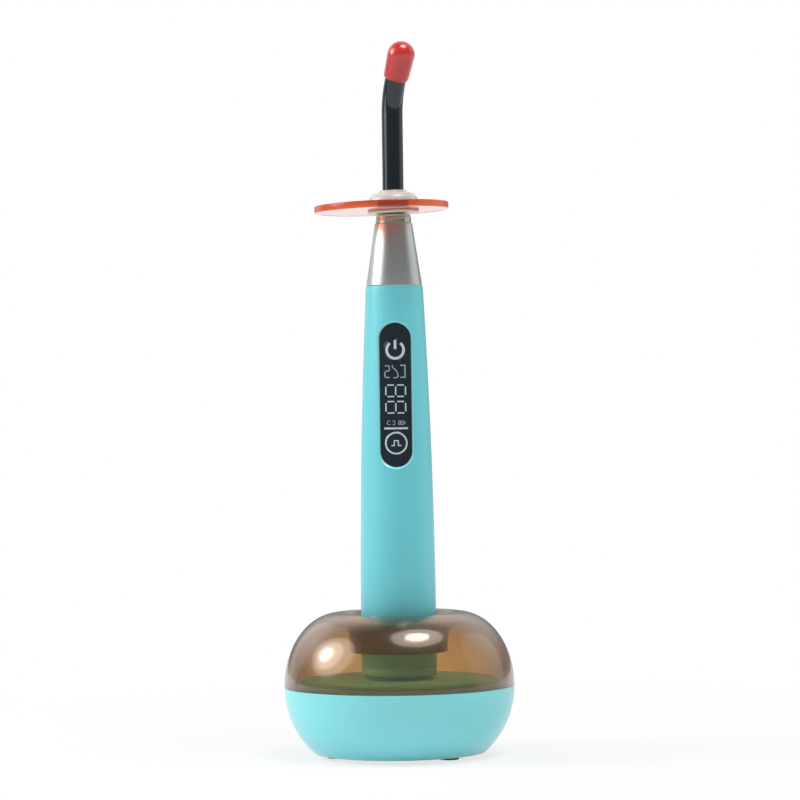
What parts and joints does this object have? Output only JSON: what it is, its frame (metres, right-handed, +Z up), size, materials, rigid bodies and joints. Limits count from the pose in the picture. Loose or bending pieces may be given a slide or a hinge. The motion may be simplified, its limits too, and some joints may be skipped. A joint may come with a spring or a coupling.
{
  "type": "dental curing light",
  "caption": "Cordless dental curing light standing upright in a round charging dock, with a bent light guide, a slip-on tip cap and a round shield for the eyes.",
  "frame": {"origin": "on the table, under the middle of the round dock", "axes": "+Z up along the handpiece, -Y towards the side with the display and keys, +X to the right as seen from that side"},
  "size_m": [0.0874, 0.0874, 0.2706],
  "materials": {
    "teal_shell": "soft satin teal",
    "smoke_cover": "clear smoked, polished",
    "dock_shell": "polished teal",
    "deck": "fine texture",
    "black_rubber": "matt",
    "plated_steel": "plated",
    "cast_weight": "raw",
    "board_green": "solder mask",
    "dark_plastic": "moulded",
    "gold_contact": "gold plated",
    "turned_aluminium": "fine turned satin",
    "polished_ring": "polished",
    "black_glass": "piano black",
    "display_grey": "satin",
    "battery_sleeve": "shrink sleeve",
    "led_ceramic": "ceramic",
    "clear_lens": "polished",
    "guide_glass": "dark glass, polished",
    "red_cap": "translucent red",
    "orange_shield": "translucent orange, polished",
    "cream_hub": "soft silicone"
  },
  "bodies": {
    "dock": {"dock_bowl": "dock_shell", "dock_cover": "smoke_cover", "dock_deck": "deck", "bottom_plate": "dock_shell", "rubber_feet": "black_rubber", "base_screws": "plated_steel", "ballast_ring": "cast_weight", "dock_board": "board_green", "charging_inlet": "plated_steel", "pin_block": "dark_plastic"},
    "inner_pin": {"inner_charge_pin": "gold_contact"},
    "outer_pin": {"outer_charge_pin": "gold_contact"},
    "handpiece": {"end_cap": "teal_shell", "centre_contact": "gold_contact", "ring_contact": "gold_contact", "grip_sleeve": "teal_shell", "window_panel": "black_glass", "main_board": "board_green", "board_screws": "plated_steel", "display_module": "display_grey", "key_switches": "dark_plastic", "battery": "battery_sleeve", "inner_frame": "dark_plastic", "battery_contacts": "gold_contact", "nose_cone": "turned_aluminium", "nose_seal": "black_rubber", "heat_sink": "turned_aluminium", "led_module": "led_ceramic", "lens": "clear_lens", "nose_ring": "polished_ring"},
    "power_key": {"power_key": "black_glass"},
    "mode_key": {"mode_key": "black_glass"},
    "ferrule": {"guide_ferrule": "plated_steel", "guide_seal": "black_rubber"},
    "guide": {"light_guide": "guide_glass"},
    "cap": {"tip_cap": "red_cap"},
    "hub": {"shield_hub": "cream_hub"},
    "shield": {"light_shield": "orange_shield"}
  },
  "joints": [
    {"name": "handpiece_lift", "type": "slide", "parent": "dock", "child": "handpiece", "axis": [0, 0, 1], "range_m": [0, 0.05]},
    {"name": "inner_pin_press", "type": "slide", "parent": "dock", "child": "inner_pin", "axis": [0, 0, 1], "range_m": [-0.0008, 0], "stiffness_N_per_m": 300},
    {"name": "outer_pin_press", "type": "slide", "parent": "dock", "child": "outer_pin", "axis": [0, 0, 1], "range_m": [-0.0008, 0], "stiffness_N_per_m": 300},
    {"name": "power_key_press", "type": "slide", "parent": "handpiece", "child": "power_key", "axis": [0, 1, 0], "range_m": [0, 0.0004], "stiffness_N_per_m": 1500},
    {"name": "mode_key_press", "type": "slide", "parent": "handpiece", "child": "mode_key", "axis": [0, 1, 0], "range_m": [0, 0.0004], "stiffness_N_per_m": 1500},
    {"name": "guide_pull", "type": "slide", "parent": "handpiece", "child": "ferrule", "axis": [0, 0, 1], "range_m": [0, 0.016]},
    {"name": "guide_turn", "type": "hinge", "parent": "ferrule", "child": "guide", "pos_m": [0, 0, 0.2], "axis": [0, 0, 1], "continuous": true},
    {"name": "cap_pull", "type": "slide", "parent": "guide", "child": "cap", "axis": [0.2192, -0.3796, 0.8988], "range_m": [0, 0.012]},
    {"name": "hub_slide", "type": "slide", "parent": "guide", "child": "hub", "axis": [0, 0, 1], "range_m": [0, 0.024]},
    {"name": "shield_turn", "type": "hinge", "parent": "hub", "child": "shield", "pos_m": [0, 0, 0.20815], "axis": [-0.0279, 0, 0.9996], "continuous": true}
  ]
}
